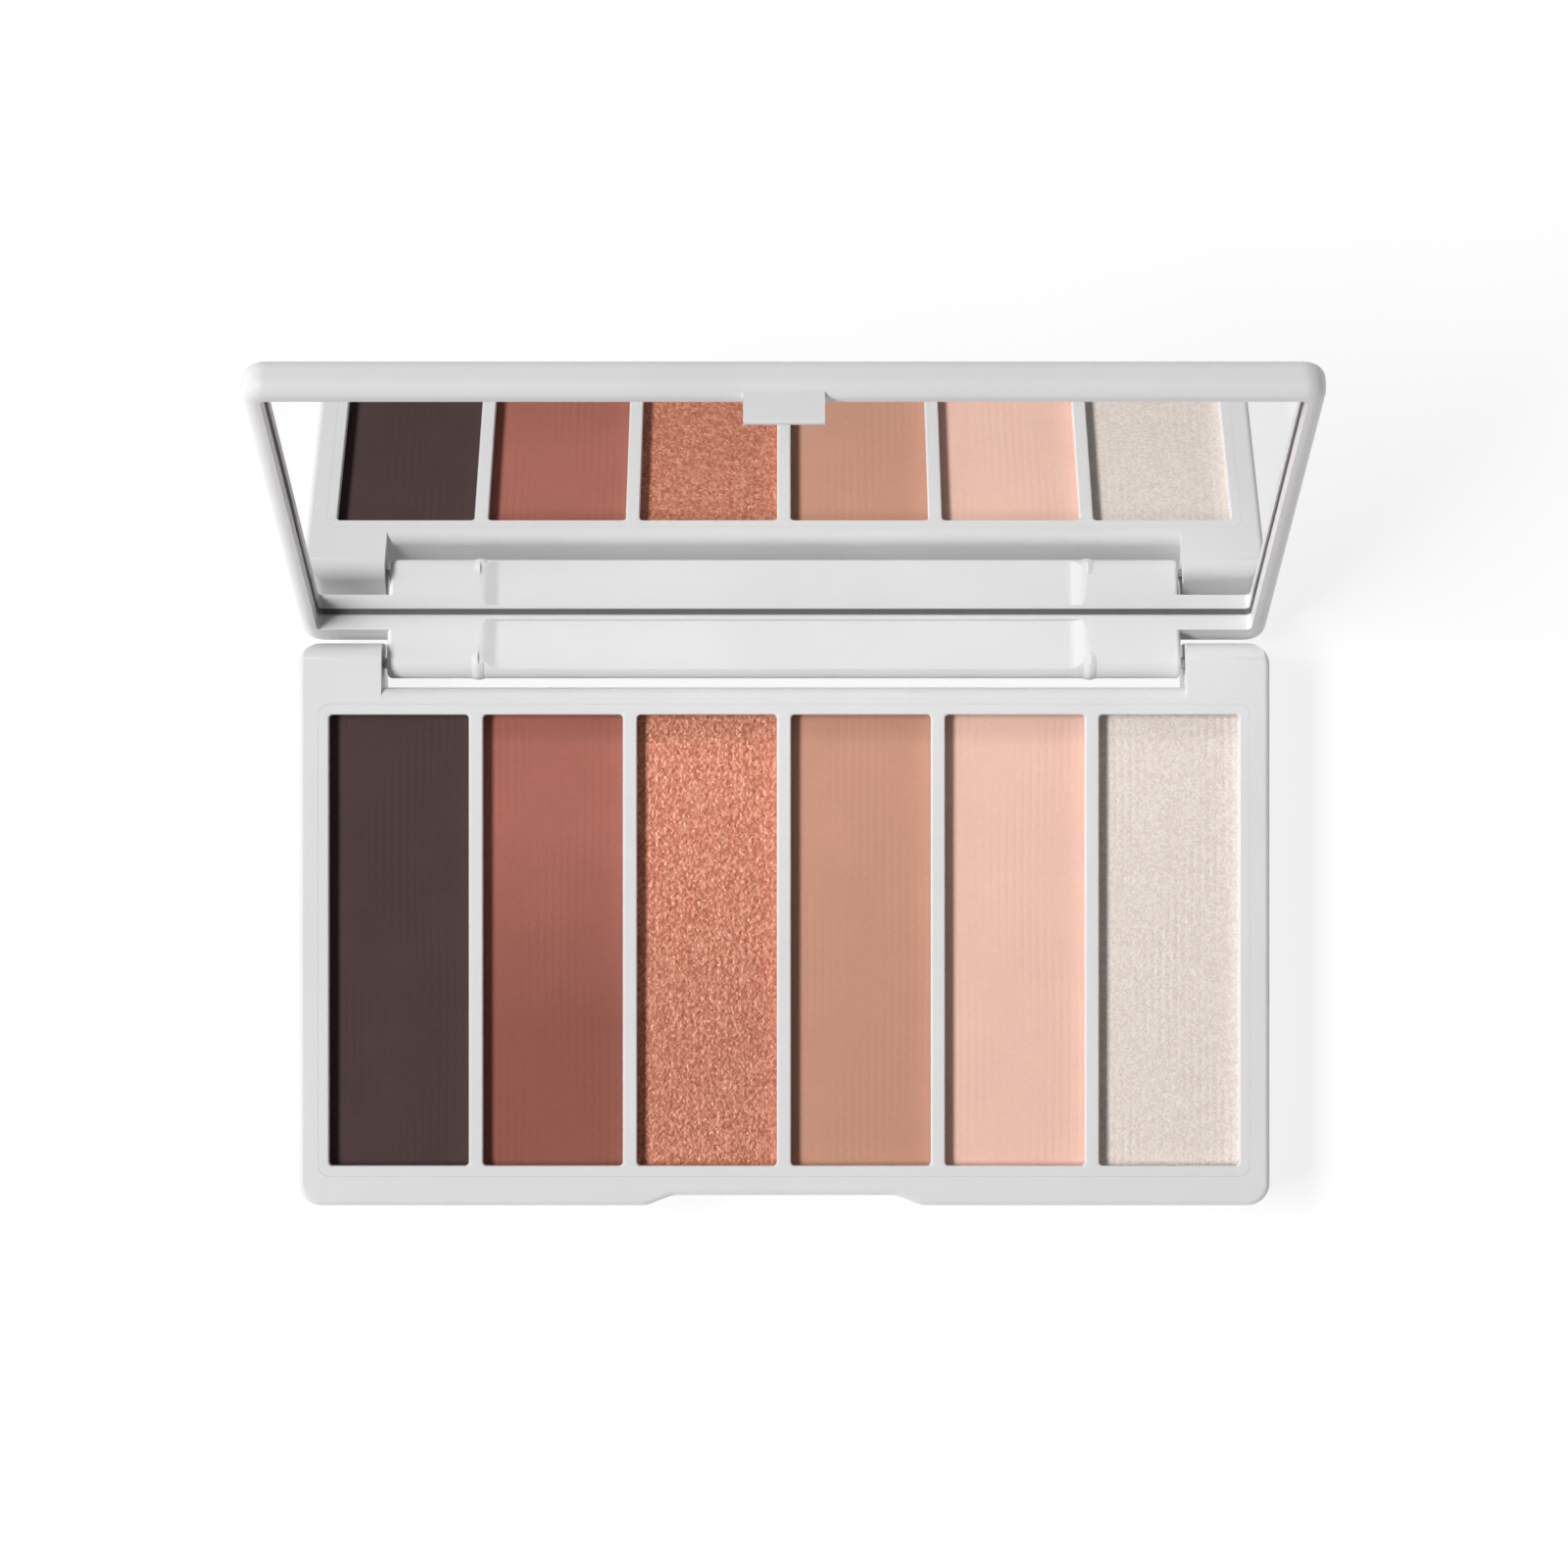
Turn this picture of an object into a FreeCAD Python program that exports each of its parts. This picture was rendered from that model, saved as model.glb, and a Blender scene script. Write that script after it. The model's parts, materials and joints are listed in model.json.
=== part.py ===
import FreeCAD, Part
import math
import os

# Slim eyeshadow palette: a moulded base with six pressed powders in metal pans under a pan deck,
# and a lid with a mirror that swings on two hinge pins at the rear. Sizes are in millimetres.
# The origin is the middle of the base's underside, with +X to the right, +Y to the hinge and +Z up.
# The lid is drawn closed, and then turned about the hinge line to the open pose.

# Base moulding
base_width = 100.0
base_depth = 57.9
base_height = 8.0
corner_radius = 2.3
top_edge_radius = 0.6
foot_edge_radius = 1.2
floor_thickness = 2.0

# Thumb scoop in the middle of the front wall
scoop_width = 28.3
scoop_depth = 1.05
scoop_ramp = 2.7
scoop_corner_radius = 2.0

# Six powders side by side
shades = ["charcoal", "brick", "copper", "tan", "peach", "pearl"]
well_width = 14.4
well_length = 46.4
well_pitch = 15.85
well_corner_radius = 0.4
well_edge_bevel = 0.2
well_front_margin = 4.1
powder_recess = 1.3

# Pan deck, let into the top of the base over the rims of the pans
deck_thickness = 0.9
deck_margin = 1.1
deck_clearance = 0.03
deck_corner_radius = 1.2

# Pressed metal pans, each on a pad of glue
pan_wall = 0.35
pan_floor = 0.4
pan_cover = 0.1
pan_bottom_bevel = 0.5
pan_gap = 0.25
pan_headroom = 0.05
glue_width = 9.0
glue_length = 34.0
glue_thickness = 0.2
glue_corner_cut = 1.5

# Hinge line, measured from the rear face and the top of the base
hinge_behind = 2.0
hinge_below = 2.85
barrel_radius = 1.6
barrel_end_angle = -135.0
notch_width = 82.9
notch_front_gap = 2.57
notch_edge_radius = 1.2
block_width = 82.0
ear_top_radius = 1.9
recess_lip = 0.5
ring_inner = 31.0
ring_outer = 32.2
ring_proud = 0.15
ring_bevel = 0.12
block_end_radius = 0.5
pin_radius = 0.6
pin_running_gap = 0.05
pin_inner = 34.0
pin_outer = 49.8
pin_chamfer = 0.12
bore_end_room = 0.3

# Depth of the shallow recess in the hinge block, at these distances from the middle
recess_slope = [(29.4, 0.42), (30.0, 0.36), (30.85, 0.06), (31.5, 0.0)]

# Lid moulding
lid_thickness = 3.6
lid_gap = 0.15
lid_front_lip = 0.5
lid_front_rim = 2.0
lid_side_rim = 1.7
lid_outer_radius = 1.2
lid_rim_radius = 1.4
lid_open_angle = 111.4
root_depth = 1.2

# Mirror, held in its pocket by a sheet of tape
ledge_ahead = 1.75
mirror_recess = 1.65
mirror_thickness = 0.5
mirror_clearance = 0.1
mirror_corner_cut = 0.4
tape_thickness = 0.1
tape_inset = 2.0
pocket_overcut = 0.5
pocket_corner_radius = 0.6

# Latch tab on the lid's front rim, with a bead that sits in a groove of the scoop
tab_width = 7.5
tab_thickness = 0.8
tab_length = 2.8
tab_tip_radius = 0.3
bead_radius = 0.3
bead_proud = 0.1
groove_radius = 0.4
groove_width = 9.5

# Places worked out from the sizes above
front = -base_depth / 2
rear = base_depth / 2
side = base_width / 2
hinge_y = rear - hinge_behind
hinge_z = base_height - hinge_below
notch_y = hinge_y - notch_front_gap
scoop_y = front + scoop_depth
well_front = front + well_front_margin
well_rear = well_front + well_length
well_middle = (well_front + well_rear) / 2
wells_side = (len(shades) - 1) * well_pitch / 2 + well_width / 2
deck_bottom = base_height - deck_thickness
pan_bottom = floor_thickness + glue_thickness
pan_top = deck_bottom - pan_headroom
powder_bottom = pan_bottom + pan_floor
powder_top = base_height - powder_recess
rim_z = base_height + lid_gap
lid_top = rim_z + lid_thickness
lid_front = front - lid_front_lip
ledge_y = hinge_y - ledge_ahead
mirror_z = rim_z + mirror_recess
tape_z = mirror_z + mirror_thickness

# How far cutters run past what they cut, and what counts as the same place or an upright edge
beyond = 5.0
same_place = 0.0001
upright_ratio = 10.0

X_AXIS = FreeCAD.Vector(1, 0, 0)
Z_AXIS = FreeCAD.Vector(0, 0, 1)
HINGE = FreeCAD.Vector(0, hinge_y, hinge_z)


def save(node, shape):
    """Write one piece, after a test that it is a sound solid."""
    if not shape.isValid() or shape.Volume <= 0:
        raise ValueError(node + " is not a sound solid")
    shape.exportStep("parts/" + node + ".step")


def box(x0, x1, y0, y1, z0, z1):
    return Part.makeBox(x1 - x0, y1 - y0, z1 - z0, FreeCAD.Vector(x0, y0, z0))


def upright_edges(shape):
    boxes = [(e, e.BoundBox) for e in shape.Edges]
    return [e for e, b in boxes if b.ZLength > upright_ratio * max(b.XLength, b.YLength)]


def edges_at_height(shape, z):
    boxes = [(e, e.BoundBox) for e in shape.Edges]
    return [e for e, b in boxes if abs(b.ZMin - z) < same_place and abs(b.ZMax - z) < same_place]


def slab(x0, x1, y0, y1, z0, z1, radius):
    """A plate with its four upright corners rounded."""
    plate = box(x0, x1, y0, y1, z0, z1)
    return plate.makeFillet(radius, upright_edges(plate))


def prism(points, start, run):
    """The solid that a closed outline of straight edges sweeps along a straight run."""
    outline = Part.makePolygon([start + p for p in points + points[:1]])
    return Part.Face(outline).extrude(run)


def rear_edge_cutter(y, z, radius, x0, x1):
    """What a round of this radius takes off a long edge that faces the rear and the top."""
    corner = box(x0, x1, y - radius, y + beyond, z - radius, z + beyond)
    centre = FreeCAD.Vector(x0, y - radius, z - radius)
    return corner.cut(Part.makeCylinder(radius, x1 - x0, centre, X_AXIS))


def cross_cylinder(radius, x0, x1, y, z):
    return Part.makeCylinder(radius, x1 - x0, FreeCAD.Vector(x0, y, z), X_AXIS)


def bevelled_rod(radius, x0, x1, bevel, ends):
    """A round rod on the hinge line, bevelled at those of its ends that are named by their place."""
    rod = cross_cylinder(radius, x0, x1, hinge_y, hinge_z)
    rims = [e for e in rod.Edges if e.BoundBox.XLength < same_place]
    named = [e for e in rims if any(abs(e.CenterOfMass.x - x) < same_place for x in ends)]
    return rod.makeChamfer(bevel, named)


def barrel_touch():
    """Where the hinge block's front face, coming down from the ledge, touches the barrel."""
    rim_above = rim_z - hinge_z
    reach = math.hypot(ledge_ahead, rim_above)
    return math.atan2(rim_above, ledge_ahead) - math.acos(barrel_radius / reach)


def base_shell():
    """The moulded tray: rounded outside, with the pan cavity, the hinge notch and ears, and the scoop."""
    body = slab(-side, side, front, rear, 0, base_height, corner_radius)

    # The scoop's two ramps run on past the front face, so that they cut it cleanly
    half_scoop = scoop_width / 2
    slope = scoop_ramp / scoop_depth
    outside = half_scoop + slope * beyond
    inside = half_scoop - scoop_ramp
    outline = [
        FreeCAD.Vector(-outside, front - beyond, 0),
        FreeCAD.Vector(outside, front - beyond, 0),
        FreeCAD.Vector(inside, scoop_y, 0),
        FreeCAD.Vector(-inside, scoop_y, 0),
    ]
    scoop = prism(outline, FreeCAD.Vector(0, 0, -beyond), Z_AXIS * (base_height + 2 * beyond))
    body = body.cut(scoop)
    bends = [e for e in upright_edges(body) if abs(e.CenterOfMass.x) < half_scoop + same_place]
    body = body.makeFillet(scoop_corner_radius, bends)

    # All the outer edges are rounded at the foot and the top
    body = body.makeFillet(foot_edge_radius, edges_at_height(body, 0))
    body = body.makeFillet(top_edge_radius, edges_at_height(body, base_height))

    # The ears are rounded at the rear, so that the lid's rim can turn past them
    body = body.cut(rear_edge_cutter(rear, base_height, ear_top_radius, -side, side))

    # The notch between the ears takes the lid's hinge block, and its front edge is rounded
    half_notch = notch_width / 2
    body = body.cut(box(-half_notch, half_notch, notch_y, rear + beyond, -beyond, base_height + beyond))
    body = body.cut(rear_edge_cutter(notch_y, base_height, notch_edge_radius, -half_notch, half_notch))

    # The pans stand in the cavity, and the deck lies on the ledge round its mouth
    reach = pan_wall + pan_cover + pan_gap
    cavity = slab(
        -wells_side - reach, wells_side + reach, well_front - reach, well_rear + reach,
        floor_thickness, base_height, deck_corner_radius,
    )
    deck_seat = slab(
        -wells_side - deck_margin, wells_side + deck_margin,
        well_front - deck_margin, well_rear + deck_margin,
        deck_bottom, base_height + beyond, deck_corner_radius,
    )
    body = body.cut(cavity).cut(deck_seat)

    # A groove across the scoop's wall takes the bead of the latch tab
    bead_z = rim_z - tab_length + tab_tip_radius + bead_radius
    body = body.cut(cross_cylinder(groove_radius, -groove_width / 2, groove_width / 2, scoop_y, bead_z))

    # The pins are driven in from the sides
    for sign in (-1, 1):
        x0, x1 = sorted((sign * pin_inner, sign * (side + beyond)))
        body = body.cut(cross_cylinder(pin_radius, x0, x1, hinge_y, hinge_z))
    return body.removeSplitter()


def well_centres():
    first = -(len(shades) - 1) * well_pitch / 2
    return [first + i * well_pitch for i in range(len(shades))]


def well_slab(x, grow, z0, z1, radius):
    """A rounded block the size of one well, grown by the same amount all round."""
    half = well_width / 2 + grow
    return slab(x - half, x + half, well_front - grow, well_rear + grow, z0, z1, radius)


def pan_deck():
    """The plate with six windows that hides the pans' rims."""
    reach = deck_margin - deck_clearance
    plate = slab(
        -wells_side - reach, wells_side + reach, well_front - reach, well_rear + reach,
        deck_bottom, base_height, deck_corner_radius - deck_clearance,
    )
    for x in well_centres():
        plate = plate.cut(well_slab(x, 0, deck_bottom - beyond, base_height + beyond, well_corner_radius))
    lips = edges_at_height(plate, base_height)
    lips = [e for e in lips if abs(e.CenterOfMass.x) < wells_side + same_place]
    lips = [e for e in lips if abs(e.CenterOfMass.y - well_middle) < well_length / 2 + same_place]
    return plate.makeChamfer(well_edge_bevel, lips)


def pan(x):
    """A drawn metal tray, a little larger than the window above it."""
    outer_grow = pan_cover + pan_wall
    outer = well_slab(x, outer_grow, pan_bottom, pan_top, well_corner_radius + outer_grow)
    outer = outer.makeChamfer(pan_bottom_bevel, edges_at_height(outer, pan_bottom))
    inner = well_slab(x, pan_cover, powder_bottom, pan_top + beyond, well_corner_radius + pan_cover)
    return outer.cut(inner)


def powder(x):
    """A pressed cake that fills its pan."""
    return well_slab(x, pan_cover, powder_bottom, powder_top, well_corner_radius + pan_cover)


def glue(x):
    """A flat pad with its corners cut off, under the middle of one pan."""
    half_width = glue_width / 2
    half_length = glue_length / 2
    pad = box(
        x - half_width, x + half_width, well_middle - half_length, well_middle + half_length,
        floor_thickness, pan_bottom,
    )
    return pad.makeChamfer(glue_corner_cut, upright_edges(pad))


def hinge_block():
    """The wall that hangs from the lid's rear edge and ends in a barrel round the hinge line."""

    def at(ahead, above):
        return FreeCAD.Vector(-block_width / 2, hinge_y - ahead, hinge_z + above)

    def on_barrel(angle):
        return at(barrel_radius * math.cos(angle), barrel_radius * math.sin(angle))

    # The front face leaves the ledge below the mirror and touches the barrel
    rim_above = rim_z - hinge_z
    touch = barrel_touch()
    leave = math.radians(barrel_end_angle)
    rear_above = barrel_radius * math.sin(leave) + hinge_behind + barrel_radius * math.cos(leave)
    inside_lid = rim_above + root_depth
    outline = Part.Wire([
        Part.LineSegment(at(ledge_ahead, inside_lid), at(ledge_ahead, rim_above)).toShape(),
        Part.LineSegment(at(ledge_ahead, rim_above), on_barrel(touch)).toShape(),
        Part.Arc(on_barrel(touch), on_barrel((touch + leave) / 2), on_barrel(leave)).toShape(),
        Part.LineSegment(on_barrel(leave), at(-hinge_behind, rear_above)).toShape(),
        Part.LineSegment(at(-hinge_behind, rear_above), at(-hinge_behind, inside_lid)).toShape(),
        Part.LineSegment(at(-hinge_behind, inside_lid), at(ledge_ahead, inside_lid)).toShape(),
    ])
    block = Part.Face(outline).extrude(X_AXIS * block_width)

    # The barrel's two ends are rounded where they face the ears
    half = block_width / 2
    ends = [e for e in block.Edges if abs(abs(e.CenterOfMass.x) - half) < same_place]
    ends = [e for e in ends if e.BoundBox.ZMax < rim_z + same_place and e.BoundBox.YMax < rear - same_place]
    block = block.makeFillet(block_end_radius, ends)

    # A low ring stands proud of the barrel at the inner end of each knuckle
    for sign in (-1, 1):
        x0, x1 = sorted((sign * ring_inner, sign * ring_outer))
        block = block.fuse(bevelled_rod(barrel_radius + ring_proud, x0, x1, ring_bevel, [x0, x1]))
    return block


def block_recess():
    """The shallow step between the two raised knuckles, which leans with the block's front face."""
    right = [FreeCAD.Vector(x, ledge_y + depth, 0) for x, depth in recess_slope]
    right.append(FreeCAD.Vector(recess_slope[-1][0], ledge_y - beyond, 0))
    left = [FreeCAD.Vector(-p.x, p.y, 0) for p in reversed(right)]
    bottom = hinge_z - 2 * barrel_radius
    top = mirror_z - recess_lip
    step = prism(right + left, FreeCAD.Vector(0, 0, bottom), Z_AXIS * (top - bottom))
    step.rotate(FreeCAD.Vector(0, ledge_y, rim_z), X_AXIS, math.degrees(-barrel_touch()))
    return step


def latch_tab():
    """The tongue that drops into the scoop, with a bead on its inner face."""
    half = tab_width / 2
    tip = rim_z - tab_length
    inner = front + tab_thickness
    tongue = box(-half, half, front, inner, tip, rim_z + root_depth)
    long_edges = [e for e in edges_at_height(tongue, tip) if e.BoundBox.XLength > half]
    tongue = tongue.makeFillet(tab_tip_radius, long_edges)
    bead_y = inner + bead_proud - bead_radius
    bead = cross_cylinder(bead_radius, -half + tab_tip_radius, half - tab_tip_radius, bead_y,
                          tip + tab_tip_radius + bead_radius)
    return tongue.fuse(bead)


def lid_shell():
    """The lid's plate and rim with the mirror pocket, the hinge block and the latch tab, closed."""
    plate = slab(-side, side, lid_front, rear, rim_z, lid_top, corner_radius)
    plate = plate.makeFillet(lid_outer_radius, edges_at_height(plate, lid_top))
    plate = plate.makeFillet(lid_rim_radius, edges_at_height(plate, rim_z))
    lid = plate.fuse(hinge_block()).fuse(latch_tab())
    pocket = slab(
        -side + lid_side_rim, side - lid_side_rim, lid_front + lid_front_rim, ledge_y,
        rim_z - pocket_overcut, tape_z + tape_thickness, pocket_corner_radius,
    )
    pocket = pocket.cut(latch_tab())
    lid = lid.cut(pocket).cut(block_recess())
    for sign in (-1, 1):
        x0, x1 = sorted((sign * (pin_inner - bore_end_room), sign * (block_width / 2 + beyond)))
        lid = lid.cut(cross_cylinder(pin_radius + pin_running_gap, x0, x1, hinge_y, hinge_z))
    return lid.removeSplitter()


def mirror():
    """A sheet of glass with its corners nipped off."""
    reach = side - lid_side_rim - mirror_clearance
    sheet = box(
        -reach, reach, lid_front + lid_front_rim + mirror_clearance, ledge_y - mirror_clearance,
        mirror_z, tape_z,
    )
    return sheet.makeChamfer(mirror_corner_cut, upright_edges(sheet))


def mirror_tape():
    reach = side - lid_side_rim - tape_inset
    return box(
        -reach, reach, lid_front + lid_front_rim + tape_inset, ledge_y - tape_inset,
        tape_z, tape_z + tape_thickness,
    )


def hinge_pin(sign):
    """A steel pin, bevelled at the inner end that goes in first."""
    x0, x1 = sorted((sign * pin_inner, sign * pin_outer))
    return bevelled_rod(pin_radius, x0, x1, pin_chamfer, [sign * pin_inner])


def opened(shape):
    """The same piece of the lid, turned back from closed to the open pose."""
    turned = shape.copy()
    turned.rotate(HINGE, X_AXIS, -lid_open_angle)
    return turned


os.makedirs("parts", exist_ok=True)

save("base_shell", base_shell())
for shade, x in zip(shades, well_centres()):
    save("pan_glue_" + shade, glue(x))
    save("pan_" + shade, pan(x))
    save("powder_" + shade, powder(x))
save("pan_deck", pan_deck())
save("hinge_pin_left", hinge_pin(-1))
save("hinge_pin_right", hinge_pin(1))
save("lid_shell", opened(lid_shell()))
save("mirror_tape", opened(mirror_tape()))
save("mirror", opened(mirror()))
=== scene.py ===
import bmesh
import bpy
import json
import math
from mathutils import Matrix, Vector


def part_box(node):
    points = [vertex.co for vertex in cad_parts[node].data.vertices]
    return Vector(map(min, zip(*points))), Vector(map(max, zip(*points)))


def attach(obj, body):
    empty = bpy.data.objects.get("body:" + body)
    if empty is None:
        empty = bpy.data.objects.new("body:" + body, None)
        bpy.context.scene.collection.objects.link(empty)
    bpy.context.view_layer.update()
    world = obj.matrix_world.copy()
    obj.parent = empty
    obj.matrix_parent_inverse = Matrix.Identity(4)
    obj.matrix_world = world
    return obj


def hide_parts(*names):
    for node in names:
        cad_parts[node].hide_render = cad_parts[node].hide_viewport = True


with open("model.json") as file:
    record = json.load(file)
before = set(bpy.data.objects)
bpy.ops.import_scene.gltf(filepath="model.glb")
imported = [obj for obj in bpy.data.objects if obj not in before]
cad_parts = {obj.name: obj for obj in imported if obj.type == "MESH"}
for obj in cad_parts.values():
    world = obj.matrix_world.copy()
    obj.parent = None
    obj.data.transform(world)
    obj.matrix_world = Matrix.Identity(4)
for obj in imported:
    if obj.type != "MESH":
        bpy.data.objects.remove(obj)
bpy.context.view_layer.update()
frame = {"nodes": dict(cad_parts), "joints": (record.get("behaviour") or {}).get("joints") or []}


# Base tray: one white ABS moulding with rounded corners, two ears for the hinge and a thumb scoop.
# It is injection moulded in a tool with a fine spark-eroded skin, which leaves a satin grain.
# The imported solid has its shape; here its rounds are shaded as one smooth surface.
mm = 0.001
join_distance = 0.001 * mm
moulding_crease = 18
# A noise pattern lies mostly between these two values
noise_low, noise_high = 0.3, 0.7


def new_finish(name):
    """An empty material: its nodes, its shader, and the object coordinates that patterns read."""
    finish = bpy.data.materials.new(name)
    finish.use_nodes = True
    tree = finish.node_tree
    place = tree.nodes.new("ShaderNodeTexCoord").outputs["Object"]
    return finish, tree, tree.nodes["Principled BSDF"], place


def lumps(tree, place, size, detail=2.0):
    """Noise with lumps of about this size, in metres."""
    noise = tree.nodes.new("ShaderNodeTexNoise")
    tree.links.new(place, noise.inputs["Vector"])
    noise.inputs["Scale"].default_value = 1.0 / size
    noise.inputs["Detail"].default_value = detail
    return noise.outputs[0]


def shades_of(tree, amount, stops):
    """The colours that a pattern runs through, as (place on the ramp, colour) pairs."""
    ramp = tree.nodes.new("ShaderNodeValToRGB")
    tree.links.new(amount, ramp.inputs[0])
    ends = ramp.color_ramp.elements
    while len(ends) < len(stops):
        ends.new(0.5)
    for end, (position, colour) in zip(ends, stops):
        end.position = position
        end.color = (*colour, 1.0)
    return ramp.outputs["Color"]


def two_tones(tree, noise, dark, light):
    """Two tones of one colour that a noise pattern blends."""
    return shades_of(tree, noise, [(noise_low, dark), (noise_high, light)])


def between(tree, amount, low, high, start=noise_low, stop=noise_high):
    """A pattern that runs from start to stop, brought to the range from low to high."""
    spread = tree.nodes.new("ShaderNodeMapRange")
    tree.links.new(amount, spread.inputs["Value"])
    spread.inputs["From Min"].default_value = start
    spread.inputs["From Max"].default_value = stop
    spread.inputs["To Min"].default_value = low
    spread.inputs["To Max"].default_value = high
    return spread.outputs["Result"]


def surface(tree, shader, tone, roughness):
    """Give the shader its colour and its roughness."""
    tree.links.new(tone, shader.inputs["Base Color"])
    tree.links.new(roughness, shader.inputs["Roughness"])


def relief(tree, shader, height, depth, strength=1.0):
    """Fine height on the surface, as deep as this in metres."""
    bump = tree.nodes.new("ShaderNodeBump")
    tree.links.new(height, bump.inputs["Height"])
    bump.inputs["Distance"].default_value = depth
    bump.inputs["Strength"].default_value = strength
    tree.links.new(bump.outputs["Normal"], shader.inputs["Normal"])


def white_moulding(name):
    """Satin white ABS: faint clouds of tone from the melt, and a fine grain from the tool."""
    finish, tree, shader, place = new_finish(name)
    clouds = lumps(tree, place, size=11 * mm, detail=3.0)
    skin = lumps(tree, place, size=0.16 * mm, detail=3.0)
    surface(tree, shader,
            tone=two_tones(tree, clouds, dark=(0.712, 0.704, 0.708), light=(0.738, 0.731, 0.736)),
            roughness=between(tree, skin, low=0.46, high=0.58))
    shader.inputs["Specular IOR Level"].default_value = 0.3
    relief(tree, shader, skin, depth=0.006 * mm, strength=0.5)
    return finish


def in_scene(name, data):
    """An object in the scene that has this mesh, light or camera."""
    obj = bpy.data.objects.new(name, data)
    bpy.context.scene.collection.objects.link(obj)
    return obj


def piece_of_faces(piece, points, faces):
    """A piece made of these points and of faces between them."""
    mesh = bpy.data.meshes.new(piece)
    mesh.from_pydata(points, [], faces)
    return in_scene(piece, mesh)


def joined_copy(node, piece):
    """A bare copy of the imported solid, with its loose triangles joined for smooth shading."""
    solid = bmesh.new()
    solid.from_mesh(frame["nodes"][node].data)
    bmesh.ops.remove_doubles(solid, verts=solid.verts, dist=join_distance)
    solid.verts.index_update()
    points = [v.co[:] for v in solid.verts]
    faces = [[v.index for v in f.verts] for f in solid.faces]
    solid.free()
    return piece_of_faces(piece, points, faces)


def made_plain(obj):
    """Turn what the modifiers make into the object's own mesh, and take the modifiers off."""
    seen = obj.evaluated_get(bpy.context.evaluated_depsgraph_get())
    mesh = bpy.data.meshes.new_from_object(seen)
    obj.modifiers.clear()
    obj.data = mesh
    mesh.name = obj.name


def shade_smooth(obj, crease):
    """Smooth shading that keeps large faces flat and breaks at edges sharper than the crease."""
    obj.data.shade_smooth()
    obj.data.set_sharp_from_angle(angle=math.radians(crease))
    even = obj.modifiers.new("even_shading", "WEIGHTED_NORMAL")
    even.keep_sharp = True
    made_plain(obj)


base_tray = joined_copy("base_shell", "base_tray")
shade_smooth(base_tray, moulding_crease)
base_tray.data.materials.append(white_moulding("base_white"))
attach(base_tray, "base")
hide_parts("base_shell")


# Glue pads: six flat dabs of hot-melt glue on the floor of the tray, one under each pan.
# The pan presses the glue flat while it is warm, so it has a soft gloss and small trapped bubbles.
shades = ["charcoal", "brick", "copper", "tan", "peach", "pearl"]


def cells(tree, place, size):
    """What a pattern of cells gives, each cell about this size in metres."""
    pattern = tree.nodes.new("ShaderNodeTexVoronoi")
    tree.links.new(place, pattern.inputs["Vector"])
    pattern.inputs["Scale"].default_value = 1.0 / size
    return pattern.outputs


def set_glue(name):
    """Hot-melt glue: a milky amber haze, with a dimple over each bubble."""
    finish, tree, shader, place = new_finish(name)
    haze = lumps(tree, place, size=3.5 * mm, detail=3.0)
    surface(tree, shader,
            tone=two_tones(tree, haze, dark=(0.62, 0.56, 0.42), light=(0.74, 0.70, 0.58)),
            roughness=between(tree, haze, low=0.25, high=0.4))
    from_bubble = cells(tree, place, size=1.1 * mm)["Distance"]
    dimples = between(tree, from_bubble, low=0.0, high=1.0, start=0.05, stop=0.2)
    relief(tree, shader, dimples, depth=0.02 * mm)
    return finish


pad_glue = set_glue("pad_glue")
for shade in shades:
    frame["nodes"]["pan_glue_" + shade].material_slots[0].material = pad_glue


# Pans: six shallow trays drawn from thin bare aluminium sheet, stuck down on the glue pads.
# Rolling leaves fine lines along the sheet, and the drawing press pulls them over the walls.
def drawn_metal(name, stretch, line_width, line_depth, dark, light, smoothest, roughest):
    """Bare metal with fine lines along the axis on which the pattern is stretched."""
    finish, tree, shader, place = new_finish(name)
    stretched = tree.nodes.new("ShaderNodeMapping")
    tree.links.new(place, stretched.inputs["Vector"])
    stretched.inputs["Scale"].default_value = stretch
    lines = lumps(tree, stretched.outputs["Vector"], line_width)
    surface(tree, shader, tone=two_tones(tree, lines, dark, light),
            roughness=between(tree, lines, smoothest, roughest))
    shader.inputs["Metallic"].default_value = 1.0
    relief(tree, shader, lines, line_depth, strength=0.4)
    return finish


pan_metal = drawn_metal("pan_metal", stretch=(1.0, 0.04, 1.0), line_width=0.12 * mm,
                        line_depth=0.004 * mm, dark=(0.70, 0.71, 0.72), light=(0.82, 0.82, 0.83),
                        smoothest=0.28, roughest=0.42)
for shade in shades:
    frame["nodes"]["pan_" + shade].material_slots[0].material = pan_metal


# Powders: six cakes of talc, mica and pigment, pressed into the pans through a ribbed cloth.
# The cloth leaves faint lines along each cake, and the punch leaves a slightly eased edge.
cake_corner = 0.5 * mm
cake_edge = 0.5 * mm
cake_edge_drop = 0.06 * mm
cake_crease = 45
column_step = 0.1 * mm
row_step = 0.8 * mm
rib_pitch = 0.8 * mm
rib_depth = 0.016 * mm
rib_wander = 0.06 * mm
wander_length = 5.1 * mm
patch_width = 1.9 * mm
patch_length = 6.3 * mm
patch_sway = 2.0
phase_step = 1.7
# Where the painted shade along a cake changes, from its front edge at 0 to its rear edge at 1
front_ends, middle_starts, middle_ends, rear_starts = 0.30, 0.75, 0.93, 0.96
mottle_share = 0.4
clot_per_grain = 1.2
grain_gloss_spread = 0.1
# The Mix node's sockets for colours, which share their names with its sockets for numbers
mix_first, mix_second, mix_result = 6, 7, 2


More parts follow.
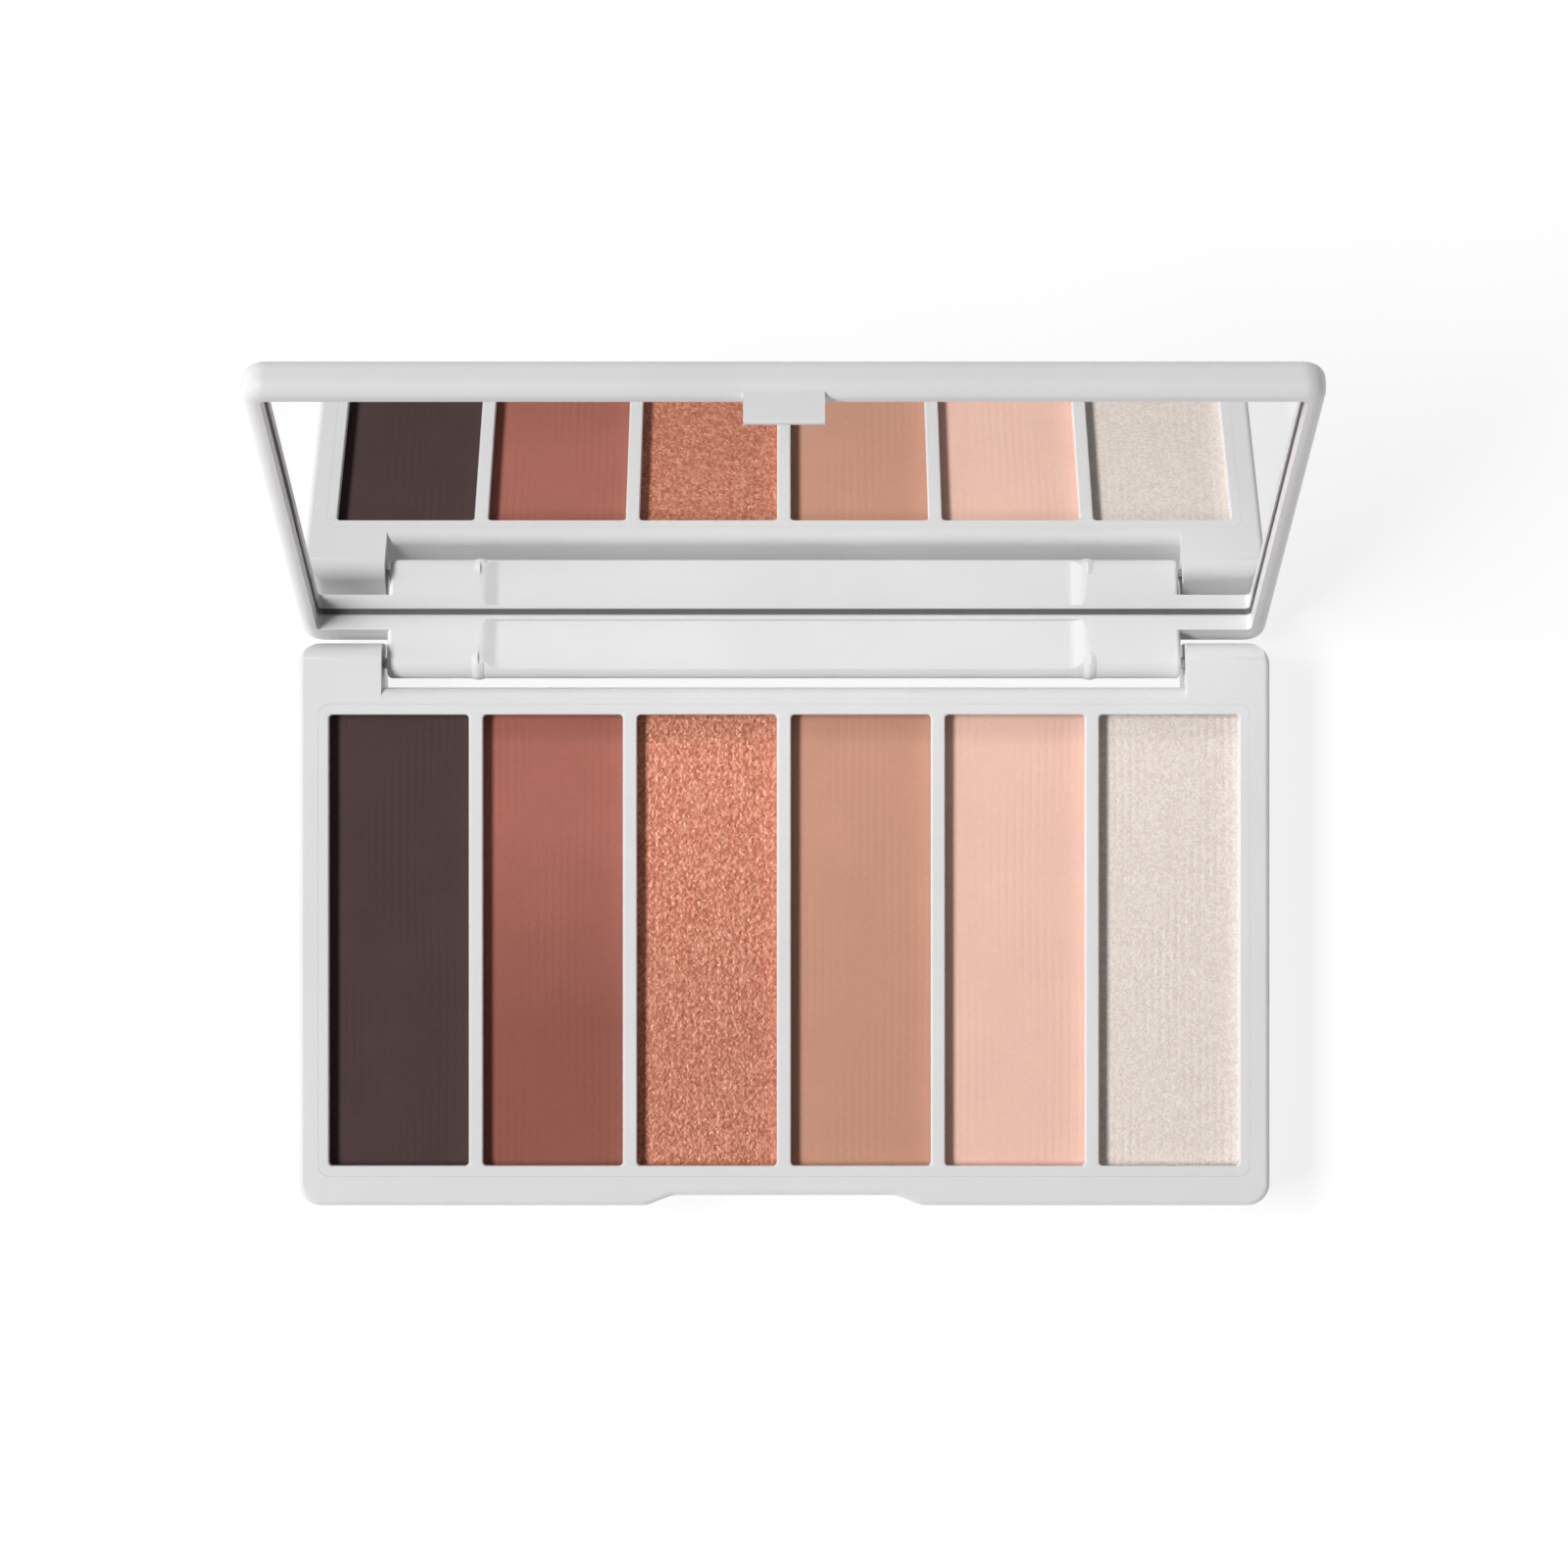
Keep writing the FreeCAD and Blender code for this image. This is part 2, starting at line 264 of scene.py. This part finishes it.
def cloth_lines(x, y, phase):
    """How deep the cloth's ribs have sunk in at this spot: deep in some patches, gone in others."""
    wander = rib_wander * math.sin(y / wander_length + phase)
    ribs = 0.5 + 0.5 * math.sin(2 * math.pi * (x + wander) / rib_pitch)
    sway = patch_sway * math.sin(y / patch_length + phase)
    patch = 0.5 + 0.5 * math.sin(x / patch_width + sway)
    return rib_depth * ribs * ribs * patch


def piece_of_shape(piece, shape):
    """A piece made of a shape that has just been built up."""
    mesh = bpy.data.meshes.new(piece)
    shape.to_mesh(mesh)
    shape.free()
    return in_scene(piece, mesh)


def pressed_cake(piece, node, phase):
    """A cake that fills the inside of its pan, with a close grid of faces on top."""
    low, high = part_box(node)
    half_x = (high[0] - low[0]) / 2
    half_y = (high[1] - low[1]) / 2
    middle_x = (high[0] + low[0]) / 2
    middle_y = (high[1] + low[1]) / 2
    columns = round(2 * half_x / column_step)
    rows = round(2 * half_y / row_step)
    cake = bmesh.new()
    top = []
    for j in range(rows + 1):
        line = []
        for i in range(columns + 1):
            x = -half_x + 2 * half_x * i / columns
            y = -half_y + 2 * half_y * j / rows
            inside = min(half_x - abs(x), half_y - abs(y))
            ease = max(0.0, 1.0 - inside / cake_edge)
            drop = cake_edge_drop * ease * ease + cloth_lines(x, y, phase)
            # The grid's square corners are drawn in to the pan's round ones
            past_x = abs(x) - (half_x - cake_corner)
            past_y = abs(y) - (half_y - cake_corner)
            if past_x > 0 and past_y > 0:
                pull = max(past_x, past_y) / math.hypot(past_x, past_y)
                x = math.copysign(half_x - cake_corner + past_x * pull, x)
                y = math.copysign(half_y - cake_corner + past_y * pull, y)
            line.append(cake.verts.new((middle_x + x, middle_y + y, high[2] - drop)))
        top.append(line)
    for j in range(rows):
        for i in range(columns):
            cake.faces.new((top[j][i], top[j][i + 1], top[j + 1][i + 1], top[j + 1][i]))
    front, rear = top[0][:-1], top[-1][:0:-1]
    right, left = [row[-1] for row in top[:-1]], [row[0] for row in top[:0:-1]]
    rim = front + right + rear + left
    foot = [cake.verts.new((v.co.x, v.co.y, low[2])) for v in rim]
    for k in range(len(rim)):
        after = (k + 1) % len(rim)
        cake.faces.new((rim[k], foot[k], foot[after], rim[after]))
    cake.faces.new(foot[::-1])
    obj = piece_of_shape(piece, cake)
    obj.data.shade_smooth()
    obj.data.set_sharp_from_angle(angle=math.radians(cake_crease))
    return obj


def painted_shade_along_cake(tree, place, tone, front, rear):
    """The tone along a cake with painted shade: darker towards the front and along the rear edge.
    """
    low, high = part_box("powder_charcoal")
    apart = tree.nodes.new("ShaderNodeSeparateXYZ")
    tree.links.new(place, apart.inputs[0])
    along = between(tree, apart.outputs["Y"], low=0.0, high=1.0, start=low[1], stop=high[1])
    full = (1.0, 1.0, 1.0)
    dimmed = shades_of(tree, along, [(front_ends, (front,) * 3), (middle_starts, full),
                                     (middle_ends, full), (rear_starts, (rear,) * 3)])
    shaded_tone = tree.nodes.new("ShaderNodeMix")
    shaded_tone.data_type = "RGBA"
    shaded_tone.blend_type = "MULTIPLY"
    shaded_tone.inputs["Factor"].default_value = 1.0
    tree.links.new(tone, shaded_tone.inputs[mix_first])
    tree.links.new(dimmed, shaded_tone.inputs[mix_second])
    return shaded_tone.outputs[mix_result]


def matte_powder(name, dark, light, front, rear):
    """Pressed matte pigment: grain as fine as flour, broad soft mottling and no shine."""
    finish, tree, shader, place = new_finish(name)
    flour = lumps(tree, place, size=0.22 * mm, detail=4.0)
    broad = lumps(tree, place, size=6.5 * mm)
    mottled = tree.nodes.new("ShaderNodeMix")
    mottled.inputs["Factor"].default_value = mottle_share
    tree.links.new(flour, mottled.inputs["A"])
    tree.links.new(broad, mottled.inputs["B"])
    tone = two_tones(tree, mottled.outputs["Result"], dark, light)
    # Painted shade: the tone is dimmed towards the front of the cake and along its rear edge
    surface(tree, shader, tone=painted_shade_along_cake(tree, place, tone, front, rear),
            roughness=between(tree, flour, low=0.85, high=1.0))
    shader.inputs["Specular IOR Level"].default_value = 0.15
    relief(tree, shader, flour, depth=0.02 * mm, strength=0.6)
    return finish


def grain_numbers(tree, place, size):
    """Two random numbers from 0 to 1 for each grain of about this size."""
    apart = tree.nodes.new("ShaderNodeSeparateColor")
    tree.links.new(cells(tree, place, size)["Color"], apart.inputs["Color"])
    return apart.outputs["Red"], apart.outputs["Green"]


def shimmer_powder(name, dark, middle, light, grain_size, clot_height, metal, roughness,
                   front, rear):
    """Pressed mica: each grain has its own tone and gloss, so light and dark specks are mixed."""
    finish, tree, shader, place = new_finish(name)
    tint, gloss = grain_numbers(tree, place, grain_size)
    tone = shades_of(tree, tint, [(0.0, dark), (0.5, middle), (1.0, light)])
    # Painted shade: the tone is dimmed towards the front of the cake and along its rear edge
    surface(tree, shader, tone=painted_shade_along_cake(tree, place, tone, front, rear),
            roughness=between(tree, gloss, low=roughness - grain_gloss_spread,
                              high=roughness + grain_gloss_spread, start=0.0, stop=1.0))
    shader.inputs["Metallic"].default_value = metal
    relief(tree, shader, lumps(tree, place, clot_per_grain * grain_size), clot_height)
    return finish


# front and rear: how much painted shade dims each cake towards its front and along its rear edge
powder_finish = {
    "charcoal": matte_powder("charcoal_powder", dark=(0.066, 0.040, 0.040),
                             light=(0.080, 0.050, 0.050), front=1.0, rear=1.0),
    "brick": matte_powder("brick_powder", dark=(0.375, 0.131, 0.099),
                          light=(0.435, 0.156, 0.119), front=0.70, rear=0.83),
    "copper": shimmer_powder("copper_powder", dark=(0.54, 0.17, 0.10), middle=(0.68, 0.25, 0.155),
                             light=(0.86, 0.38, 0.26), grain_size=0.3 * mm, clot_height=0.14 * mm,
                             metal=0.3, roughness=0.5, front=0.87, rear=0.80),
    "tan": matte_powder("tan_powder", dark=(0.545, 0.280, 0.195),
                        light=(0.610, 0.317, 0.225), front=0.95, rear=0.87),
    "peach": matte_powder("peach_powder", dark=(0.790, 0.495, 0.402),
                          light=(0.865, 0.557, 0.453), front=1.0, rear=0.88),
    "pearl": shimmer_powder("pearl_powder", dark=(0.75, 0.64, 0.575), middle=(0.82, 0.72, 0.66),
                            light=(0.89, 0.81, 0.76), grain_size=0.22 * mm, clot_height=0.04 * mm,
                            metal=0.1, roughness=0.45, front=1.0, rear=0.92),
}
for turn, shade in enumerate(shades):
    cake = pressed_cake("cake_" + shade, "powder_" + shade, phase_step * turn)
    cake.data.materials.append(powder_finish[shade])
    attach(cake, "base")
    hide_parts("powder_" + shade)


# Mica flakes: the shimmer of the copper and pearl powders, thin plates bound into the cake's top.
# The press lays most of them nearly flat, and the few that stand at a slant flash in the light.
bed_margin = cake_edge + 0.15 * mm
# No flakes lie in this strip along the right of a cake
bare_strip = 0.7 * mm
bed_drop = 0.03 * mm
flake_slant = math.radians(24)
flake_sunk = 0.02 * mm
flake_gloss_spread = 0.06
# The Random Value node's sockets, whose names are the same for vectors and for numbers
vector_least, vector_most, number_least, number_most = 0, 1, 2, 3
vector_drawn, number_drawn = 0, 1


def negative(tree, amount):
    turned = tree.nodes.new("ShaderNodeMath")
    turned.operation = "MULTIPLY"
    turned.inputs[1].default_value = -1.0
    tree.links.new(amount, turned.inputs[0])
    return turned.outputs[0]


def drawn_at_random(tree, kind, seed):
    """A random value for each flake."""
    value = tree.nodes.new("FunctionNodeRandomValue")
    value.data_type = kind
    tree.links.new(seed, value.inputs["Seed"])
    return value


def flake_bed():
    """The tree that strews slanted six-sided plates over a bed."""
    tree = bpy.data.node_groups.new("flake_bed", "GeometryNodeTree")
    sockets = {}
    for label, kind in (("Bed", "Geometry"), ("Flakes per Area", "Float"), ("Smallest", "Float"),
                        ("Largest", "Float"), ("Slant", "Float"), ("Sunk", "Float"),
                        ("Seed", "Int"), ("Finish", "Material")):
        sockets[label] = tree.interface.new_socket(label, in_out="INPUT",
                                                   socket_type="NodeSocket" + kind)
    tree.interface.new_socket("Flakes", in_out="OUTPUT", socket_type="NodeSocketGeometry")
    nodes = tree.nodes
    links = tree.links
    given = nodes.new("NodeGroupInput").outputs
    made = nodes.new("NodeGroupOutput").inputs

    strew = nodes.new("GeometryNodeDistributePointsOnFaces")
    links.new(given["Bed"], strew.inputs["Mesh"])
    links.new(given["Flakes per Area"], strew.inputs["Density"])
    links.new(given["Seed"], strew.inputs["Seed"])

    plate = nodes.new("GeometryNodeMeshCircle")
    plate.fill_type = "NGON"
    plate.inputs["Vertices"].default_value = 6
    plate.inputs["Radius"].default_value = 1.0

    radius = drawn_at_random(tree, "FLOAT", given["Seed"])
    links.new(given["Smallest"], radius.inputs[number_least])
    links.new(given["Largest"], radius.inputs[number_most])

    slant_back = negative(tree, given["Slant"])
    least = nodes.new("ShaderNodeCombineXYZ")
    most = nodes.new("ShaderNodeCombineXYZ")
    for axis in ("X", "Y"):
        links.new(slant_back, least.inputs[axis])
        links.new(given["Slant"], most.inputs[axis])
    most.inputs["Z"].default_value = 2 * math.pi
    slant = drawn_at_random(tree, "FLOAT_VECTOR", given["Seed"])
    links.new(least.outputs[0], slant.inputs[vector_least])
    links.new(most.outputs[0], slant.inputs[vector_most])
    turn = nodes.new("FunctionNodeEulerToRotation")
    links.new(slant.outputs[vector_drawn], turn.inputs[0])

    depth = drawn_at_random(tree, "FLOAT", given["Seed"])
    links.new(negative(tree, given["Sunk"]), depth.inputs[number_least])
    depth.inputs[number_most].default_value = 0.0
    down = nodes.new("ShaderNodeCombineXYZ")
    links.new(depth.outputs[number_drawn], down.inputs["Z"])
    lower = nodes.new("GeometryNodeSetPosition")
    links.new(strew.outputs["Points"], lower.inputs["Geometry"])
    links.new(down.outputs[0], lower.inputs["Offset"])

    lay = nodes.new("GeometryNodeInstanceOnPoints")
    links.new(lower.outputs["Geometry"], lay.inputs["Points"])
    links.new(plate.outputs["Mesh"], lay.inputs["Instance"])
    links.new(turn.outputs[0], lay.inputs["Rotation"])
    links.new(radius.outputs[number_drawn], lay.inputs["Scale"])
    real = nodes.new("GeometryNodeRealizeInstances")
    links.new(lay.outputs["Instances"], real.inputs["Geometry"])
    paint = nodes.new("GeometryNodeSetMaterial")
    links.new(real.outputs["Geometry"], paint.inputs["Geometry"])
    links.new(given["Finish"], paint.inputs["Material"])
    links.new(paint.outputs["Geometry"], made["Flakes"])
    return tree, {label: socket.identifier for label, socket in sockets.items()}


def mica_flake(name, dark, light, roughness):
    """Coated mica: a thin metallic film whose colour shifts a little from flake to flake."""
    finish, tree, shader, place = new_finish(name)
    tint, gloss = grain_numbers(tree, place, size=0.4 * mm)
    surface(tree, shader, tone=shades_of(tree, tint, [(0.0, dark), (1.0, light)]),
            roughness=between(tree, gloss, low=roughness - flake_gloss_spread,
                              high=roughness + flake_gloss_spread, start=0.0, stop=1.0))
    shader.inputs["Metallic"].default_value = 0.55
    return finish


bed_tree, bed_input = flake_bed()


def strewn_flakes(piece, node, finish, per_square_mm, smallest, largest, seed):
    """Flakes over the top of a cake, inside its eased edge."""
    low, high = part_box(node)
    x0, x1 = low[0] + bed_margin, high[0] - bed_margin - bare_strip
    y0, y1 = low[1] + bed_margin, high[1] - bed_margin
    z = high[2] - bed_drop
    bed = [(x0, y0, z), (x1, y0, z), (x1, y1, z), (x0, y1, z)]
    flakes = piece_of_faces(piece, bed, [(0, 1, 2, 3)])
    strewn = flakes.modifiers.new("flake_bed", "NODES")
    strewn.node_group = bed_tree
    strewn[bed_input["Flakes per Area"]] = per_square_mm / (mm * mm)
    strewn[bed_input["Smallest"]] = smallest
    strewn[bed_input["Largest"]] = largest
    strewn[bed_input["Slant"]] = flake_slant
    strewn[bed_input["Sunk"]] = flake_sunk
    strewn[bed_input["Seed"]] = seed
    strewn[bed_input["Finish"]] = finish
    made_plain(flakes)
    return flakes


flake_kinds = {
    "copper": {
        "finish": mica_flake("copper_flake", dark=(0.80, 0.36, 0.23), light=(0.98, 0.62, 0.45),
                             roughness=0.4),
        "per_square_mm": 14.0, "smallest": 0.06 * mm, "largest": 0.13 * mm, "seed": 11,
    },
    "pearl": {
        "finish": mica_flake("pearl_flake", dark=(0.90, 0.80, 0.74), light=(0.99, 0.95, 0.93),
                             roughness=0.4),
        "per_square_mm": 9.0, "smallest": 0.04 * mm, "largest": 0.09 * mm, "seed": 23,
    },
}
for shade, kind in flake_kinds.items():
    flakes = strewn_flakes("flakes_" + shade, "powder_" + shade, **kind)
    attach(flakes, "base")


# Pan deck: a thin white plate with six windows, pressed into the tray's top over the pans' rims.
# It is moulded in the same ABS as the tray, and the lips of its windows are softly rounded.
lip_radius = 0.18 * mm
lip_steps = 5
lip_cover = 0.1 * mm
window_corner = 0.4 * mm
deck_corner = 1.2 * mm
# The plate reaches this far past its solid all round, so that the seam is a hairline
deck_spread = 0.02 * mm
deck_crease = 40


def rounded_outline(x0, x1, y0, y1, radius, steps=8):
    """The points of a rectangle with rounded corners, anticlockwise."""
    points = []
    for x, y, start in ((x1 - radius, y1 - radius, 0), (x0 + radius, y1 - radius, 90),
                        (x0 + radius, y0 + radius, 180), (x1 - radius, y0 + radius, 270)):
        for k in range(steps + 1):
            angle = math.radians(start + 90 * k / steps)
            points.append((x + radius * math.cos(angle), y + radius * math.sin(angle)))
    return points


def ring_of(shape, points, z):
    return [shape.verts.new((x, y, z)) for x, y in points]


def band(shape, lower, upper):
    """The strip of faces between two rings, seen from outside when they run anticlockwise."""
    for k in range(len(lower)):
        after = (k + 1) % len(lower)
        shape.faces.new((lower[k], lower[after], upper[after], upper[k]))


def ring_edges(shape, ring):
    return [shape.edges.get((ring[k], ring[(k + 1) % len(ring)])) for k in range(len(ring))]


def deck_plate(piece):
    """The plate with its six windows, each with a lip that rolls over into the window."""
    low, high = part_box("pan_deck")
    plate = bmesh.new()
    outline = rounded_outline(low[0] - deck_spread, high[0] + deck_spread,
                              low[1] - deck_spread, high[1] + deck_spread, deck_corner)
    bottom = ring_of(plate, outline, low[2])
    top = ring_of(plate, outline, high[2])
    band(plate, bottom, top)
    top_edges = ring_edges(plate, top)
    bottom_edges = ring_edges(plate, bottom)
    for shade in shades:
        near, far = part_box("powder_" + shade)
        x0, x1 = near[0] + lip_cover, far[0] - lip_cover
        y0, y1 = near[1] + lip_cover, far[1] - lip_cover
        sill = ring_of(plate, rounded_outline(x0, x1, y0, y1, window_corner), low[2])
        last = sill
        for k in range(lip_steps + 1):
            angle = math.radians(90 * k / lip_steps)
            back = lip_radius * (1 - math.cos(angle))
            height = high[2] - lip_radius * (1 - math.sin(angle))
            wider = rounded_outline(x0 - back, x1 + back, y0 - back, y1 + back,
                                    window_corner + back)
            ring = ring_of(plate, wider, height)
            band(plate, ring, last)
            last = ring
        top_edges += ring_edges(plate, last)
        bottom_edges += ring_edges(plate, sill)
    bmesh.ops.triangle_fill(plate, edges=top_edges, use_beauty=True)
    bmesh.ops.triangle_fill(plate, edges=bottom_edges, use_beauty=True)
    bmesh.ops.recalc_face_normals(plate, faces=plate.faces)
    return piece_of_shape(piece, plate)


pan_deck = deck_plate("deck_plate")
shade_smooth(pan_deck, deck_crease)
pan_deck.data.materials.append(white_moulding("deck_white"))
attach(pan_deck, "base")
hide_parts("pan_deck")


# Hinge pins: two lengths of drawn steel wire, driven in through the ears from the sides.
# They sit tight in the ears and turn freely in the lid. Drawing leaves fine lines along the wire.
pin_steel = drawn_metal("pin_steel", stretch=(0.03, 1.0, 1.0), line_width=0.1 * mm,
                        line_depth=0.003 * mm, dark=(0.46, 0.46, 0.47), light=(0.62, 0.62, 0.63),
                        smoothest=0.22, roughest=0.36)
for hand in ("left", "right"):
    frame["nodes"]["hinge_pin_" + hand].material_slots[0].material = pin_steel


# Lid: one white ABS moulding with a raised rim, a hinge block across its rear edge and a latch tab.
# It swings on the two pins, and its skin is the same satin grain as the tray's.
# Each ring's place along the lid, and how far from the hinge line its flat top lies
ring_middle = 31.6 * mm
ring_reach = 0.55 * mm
ring_foot = 1.7 * mm
ring_crown = 1.8 * mm
crest_share = 0.3


def soften_rings(obj):
    """Draw the flat tops of the hinge block's two low rings in to a soft crest."""
    axis = frame["joints"][0]["pos_m"]
    for spot in obj.data.vertices:
        from_middle = abs(spot.co.x) - ring_middle
        from_axis = math.hypot(spot.co.y - axis[1], spot.co.z - axis[2])
        if abs(from_middle) < ring_reach and ring_foot < from_axis < ring_crown:
            spot.co.x = math.copysign(ring_middle + crest_share * from_middle, spot.co.x)


lid = joined_copy("lid_shell", "lid_moulding")
soften_rings(lid)
shade_smooth(lid, moulding_crease)
lid.data.materials.append(white_moulding("lid_white"))
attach(lid, "lid")
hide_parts("lid_shell")


# Mirror tape: a sheet of double-sided tissue tape that holds the mirror in the lid's pocket.
# The tissue carries glue on both faces, and its fibres show in it as a fine mottle.
def tissue_tape(name):
    """Glued tissue: short pale fibres in a thin layer of glue."""
    finish, tree, shader, place = new_finish(name)
    fibres = lumps(tree, place, size=0.5 * mm, detail=5.0)
    surface(tree, shader,
            tone=two_tones(tree, fibres, dark=(0.70, 0.69, 0.65), light=(0.84, 0.83, 0.80)),
            roughness=between(tree, fibres, low=0.55, high=0.75))
    relief(tree, shader, fibres, depth=0.02 * mm, strength=0.5)
    return finish


frame["nodes"]["mirror_tape"].material_slots[0].material = tissue_tape("mirror_tape_tissue")


# Mirror: one sheet of silvered glass, cut to size with its sharp edge taken off by a grinding belt.
# It lies in the lid's pocket on its tape; a bare hand leaves a barely seen haze on it.
glass_edge = 0.06 * mm
glass_corner = 0.4 * mm
glass_corner_steps = 1
silver_depth = 0.32 * mm
# The mirror's two finishes: the silver, and the edge painted dark as shade
silver, shaded_edge = 0, 1


def silvered_glass(name):
    """Silver behind clear glass, with a faint haze that blurs it here and there."""
    finish, tree, shader, place = new_finish(name)
    haze = lumps(tree, place, size=18 * mm, detail=4.0)
    surface(tree, shader,
            tone=two_tones(tree, haze, dark=(0.925, 0.935, 0.930), light=(0.945, 0.952, 0.948)),
            roughness=between(tree, haze, low=0.0, high=0.012, start=0.45, stop=0.75))
    shader.inputs["Metallic"].default_value = 1.0
    return finish


def shaded_glass_edge(name):
    """The belt-ground edge, painted as dark glass for the shade that shows round the silver, with a
    fine grit all over.
    """
    finish, tree, shader, place = new_finish(name)
    grit = lumps(tree, place, size=0.08 * mm)
    surface(tree, shader,
            tone=two_tones(tree, grit, dark=(0.090, 0.096, 0.098), light=(0.140, 0.148, 0.150)),
            roughness=between(tree, grit, low=0.3, high=0.5))
    relief(tree, shader, grit, depth=0.01 * mm, strength=0.5)
    return finish


def mirror_sheet(piece):
    """The sheet as the eye meets it: a narrow edge painted dark as shade, and the silver behind the
    front.
    """
    solid = frame["nodes"]["mirror"].data
    across = (1.0, 0.0, 0.0)
    largest_first = sorted(solid.polygons, key=lambda p: -p.area)
    front = next(p.normal.copy() for p in largest_first if p.normal.y < 0)
    along = front.cross(across)
    points = [v.co for v in solid.vertices]
    centre = sum(points[1:], points[0].copy()) / len(points)
    half_x = max(abs(p.x - centre.x) for p in points)
    half_y = max(abs((p - centre).dot(along)) for p in points)
    face = max((p - centre).dot(front) for p in points)
    back = min((p - centre).dot(front) for p in points)
    sheet = bmesh.new()

    def ring(inset, depth):
        outline = rounded_outline(-half_x + inset, half_x - inset, -half_y + inset, half_y - inset,
                                  glass_corner - inset, glass_corner_steps)
        places = [centre + along * y + front * depth for x, y in outline]
        return [sheet.verts.new((place.x + x, place.y, place.z))
                for place, (x, y) in zip(places, outline)]

    rear = ring(0.0, back)
    rim = ring(0.0, face)
    lip = ring(glass_edge, face)
    foot = ring(glass_edge, face - silver_depth)
    band(sheet, rear, rim)
    band(sheet, rim, lip)
    band(sheet, lip, foot)
    sheet.faces.new(rear[::-1])
    # The edge faces are painted dark, as painted shade round the silver
    for made in sheet.faces:
        made.material_index = shaded_edge
    sheet.faces.new(foot).material_index = silver
    bmesh.ops.recalc_face_normals(sheet, faces=sheet.faces)
    return piece_of_shape(piece, sheet)


mirror = mirror_sheet("mirror_sheet")
mirror.data.materials.append(silvered_glass("silvered_glass"))
mirror.data.materials.append(shaded_glass_edge("shaded_glass_edge"))
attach(mirror, "lid")
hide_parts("mirror")


# The table, the light and the camera: a plain white table lit mostly from within, one long softbox
# on the left, dim walls that are lighter low down on the right and in front, and a camera straight
# above at the distance of the photograph.
table_half = 3
table_glow = 0.82
wall_top = 0.45
wall_glow = 0.08
front_wall_glow = 0.4
right_wall_glow = 2.0
softbox_width = 0.7
softbox_length = 2.0
softbox_watts = 105.0
softbox_distance = 3.0
softbox_height = math.radians(50)
camera_y = 14.42 * mm
camera_z = 452 * mm
camera_lens = 99.1
camera_sensor = 36.0
white = (1.0, 1.0, 1.0, 1.0)

table = piece_of_faces("table", [(-table_half, -table_half, 0), (table_half, -table_half, 0),
                                 (table_half, table_half, 0), (-table_half, table_half, 0)],
                       [(0, 1, 2, 3)])
table_white, tree, shader, place = new_finish("table_white")
paper = lumps(tree, place, size=40 * mm)
tone = two_tones(tree, paper, dark=(0.19, 0.19, 0.19), light=(0.21, 0.21, 0.21))
tree.links.new(tone, shader.inputs["Base Color"])
shader.inputs["Roughness"].default_value = 0.9
shader.inputs["Specular IOR Level"].default_value = 0.0
shader.inputs["Emission Color"].default_value = white
shader.inputs["Emission Strength"].default_value = table_glow
table.data.materials.append(table_white)

studio = bpy.data.worlds.new("studio")
studio.use_nodes = True
tree = studio.node_tree
way = tree.nodes.new("ShaderNodeSeparateXYZ")
tree.links.new(tree.nodes.new("ShaderNodeTexCoord").outputs["Generated"], way.inputs[0])
low_down = between(tree, way.outputs["Z"], low=1.0, high=0.0, start=0.0, stop=wall_top)
in_front = between(tree, way.outputs["Y"], low=front_wall_glow, high=0.0, start=-0.9, stop=-0.3)
on_right = between(tree, way.outputs["X"], low=0.0, high=right_wall_glow, start=0.4, stop=0.9)
walls = tree.nodes.new("ShaderNodeMath")
walls.operation = "ADD"
tree.links.new(in_front, walls.inputs[0])
tree.links.new(on_right, walls.inputs[1])
glow = tree.nodes.new("ShaderNodeMath")
glow.operation = "MULTIPLY_ADD"
tree.links.new(low_down, glow.inputs[0])
tree.links.new(walls.outputs[0], glow.inputs[1])
glow.inputs[2].default_value = wall_glow
tree.links.new(glow.outputs[0], tree.nodes["Background"].inputs["Strength"])
tree.nodes["Background"].inputs["Color"].default_value = white
scene = bpy.context.scene
scene.world = studio

softbox_data = bpy.data.lights.new("softbox", "AREA")
softbox_data.shape = "RECTANGLE"
softbox_data.size = softbox_width
softbox_data.size_y = softbox_length
softbox_data.energy = softbox_watts
softbox = in_scene("softbox", softbox_data)
softbox.location = (-softbox_distance * math.cos(softbox_height), 0.0,
                    softbox_distance * math.sin(softbox_height))
softbox.rotation_euler = (0.0, softbox_height - math.pi / 2, 0.0)

camera_data = bpy.data.cameras.new("camera")
camera_data.sensor_width = camera_sensor
camera_data.lens = camera_lens
camera_data.clip_start = 0.01
camera_data.clip_end = 20.0
camera = in_scene("camera", camera_data)
camera.location = (0.0, camera_y, camera_z)
scene.camera = camera
scene.view_settings.view_transform = "Standard"
